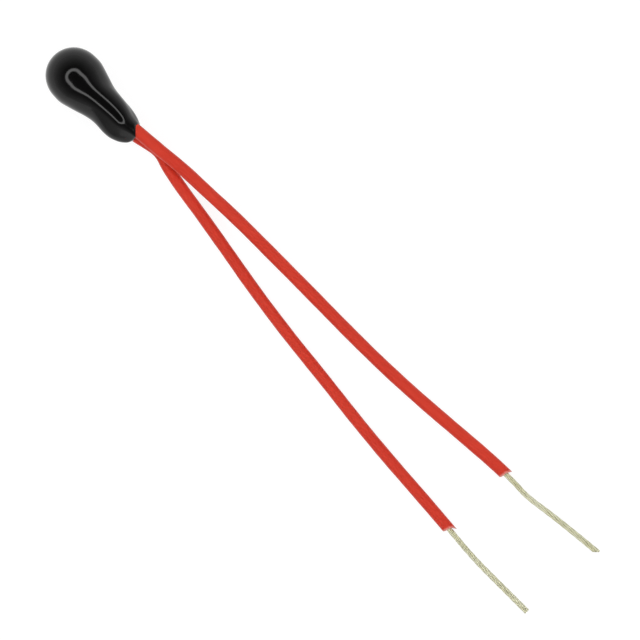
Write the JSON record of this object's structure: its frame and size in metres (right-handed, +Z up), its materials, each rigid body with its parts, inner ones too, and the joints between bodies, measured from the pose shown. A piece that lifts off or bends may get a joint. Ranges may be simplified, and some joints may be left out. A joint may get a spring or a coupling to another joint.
{
  "type": "ntc thermistor",
  "caption": "Epoxy-dipped bead thermistor: a glossy black teardrop head on thin red insulated leads with stripped, tinned ends, for sensing temperature.",
  "frame": {"origin": "on the surface that the part lies on, under the middle of the head's length", "axes": "+X along the head towards the leads, +Y to the side of lead A, which passes over lead B, and +Z up"},
  "size_m": [0.0395, 0.0054, 0.003],
  "materials": {
    "epoxy": "glossy, as it ran and cured",
    "oxide_ceramic": "sawn, matt",
    "silver_paste": "fired, matt",
    "solder": "bright",
    "tinned_strands": "tinned, slightly dull and yellowish",
    "red_insulation": "smooth, satin"
  },
  "bodies": {
    "root": {"epoxy_coat": "epoxy", "ntc_chip": "oxide_ceramic", "electrode_top": "silver_paste", "electrode_bottom": "silver_paste", "solder_top": "solder", "solder_bottom": "solder", "conductor_a": "tinned_strands", "conductor_b": "tinned_strands", "insulation_a": "red_insulation", "insulation_b": "red_insulation"}
  },
  "joints": []
}
